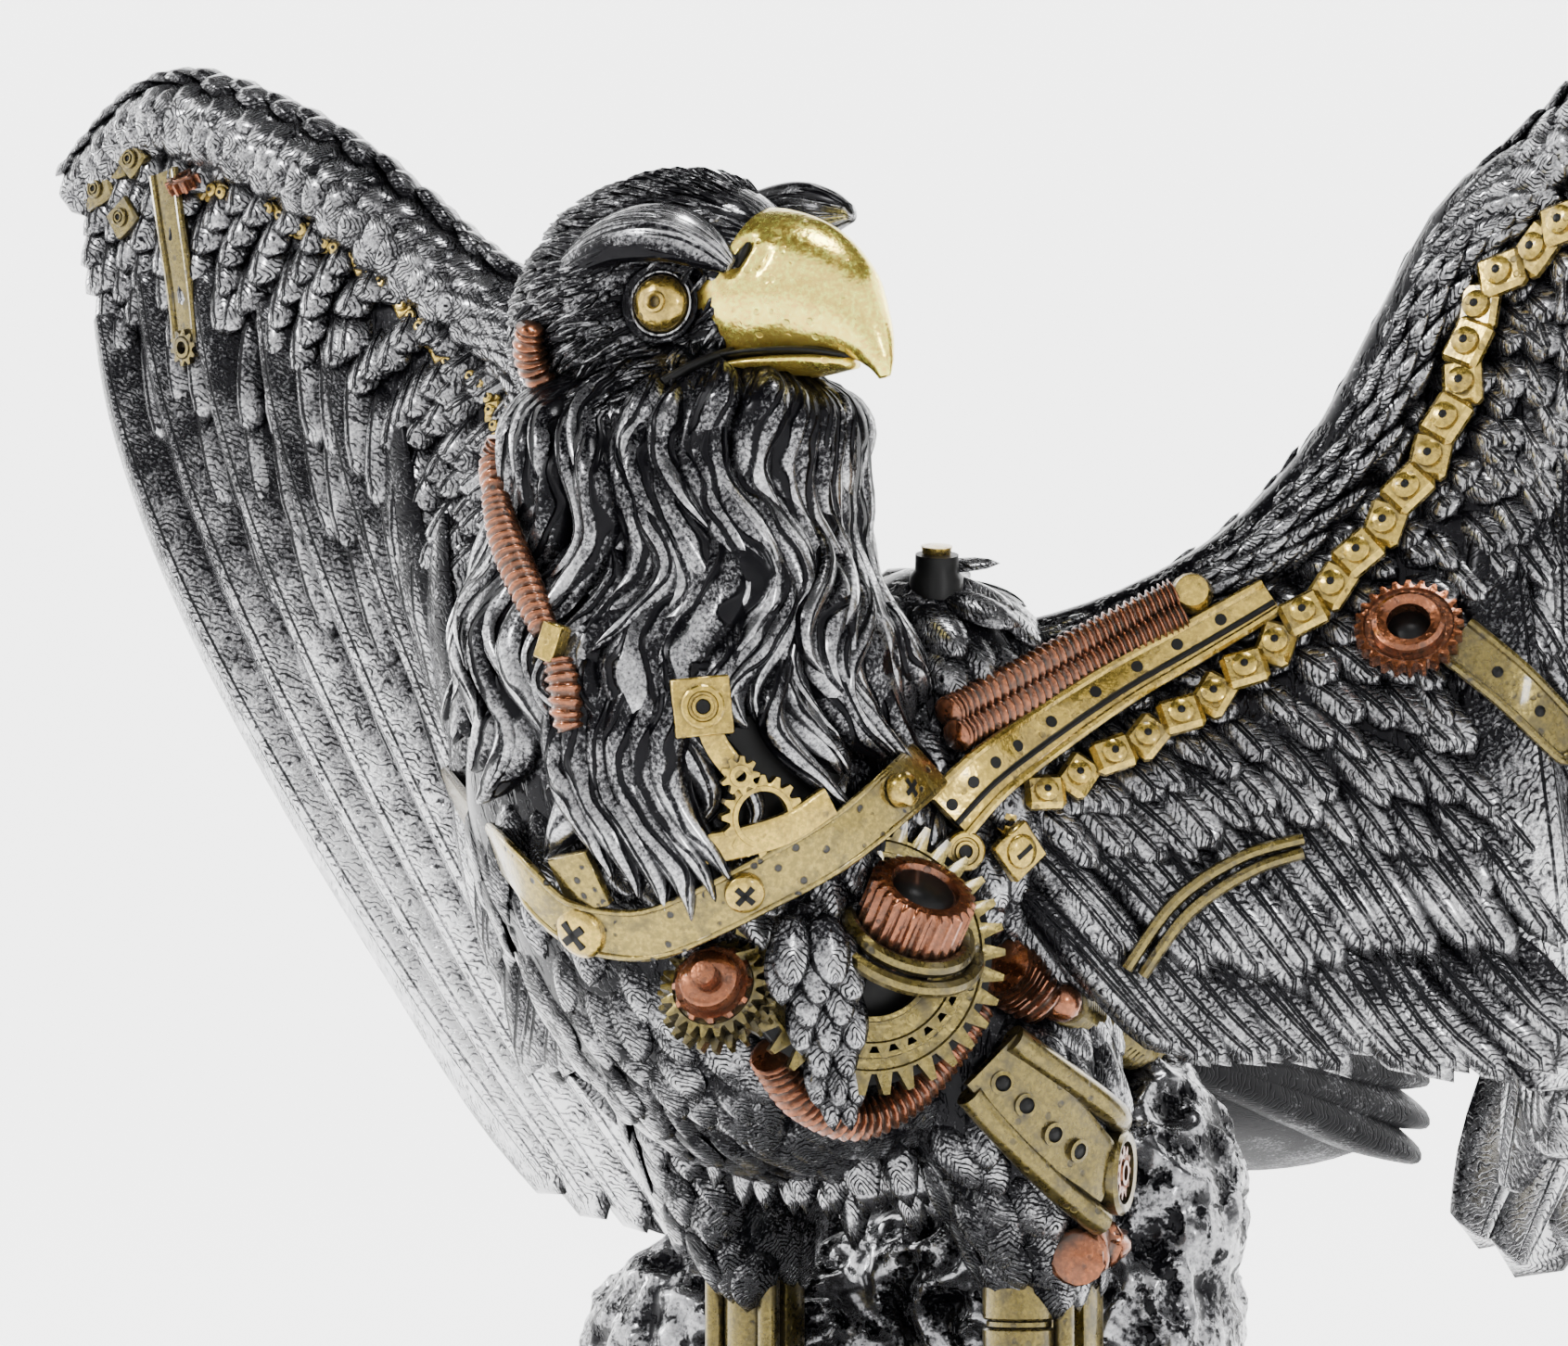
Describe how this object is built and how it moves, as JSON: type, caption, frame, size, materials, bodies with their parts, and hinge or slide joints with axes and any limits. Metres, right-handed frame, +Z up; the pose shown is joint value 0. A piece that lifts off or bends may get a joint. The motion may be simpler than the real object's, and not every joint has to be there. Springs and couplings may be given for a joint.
{
  "type": "eagle figurine",
  "caption": "Steampunk eagle figurine with raised wings, its head turned aside, in aged silver with brass and copper fittings, standing on a dark rock plinth.",
  "frame": {"origin": "on the table, under the middle of the rock plinth's underside", "axes": "+Z up, -Y the way the eagle's breast faces, +X towards its left wing and the way its head is turned"},
  "size_m": [0.4139, 0.2364, 0.3016],
  "materials": {
    "antique_silver": "cold-cast resin with a black wash and dry-brushed bright silver, satin to glossy on the high spots",
    "aged_brass": "gold-brass paint with dark recesses and casting pits, satin",
    "aged_copper": "copper paint with dark recesses, satin",
    "dark_rock": "near-black resin rock with silver dry-brushed on its edges"
  },
  "bodies": {
    "root": {"eagle": "antique_silver", "rock_plinth": "dark_rock"}
  },
  "joints": []
}
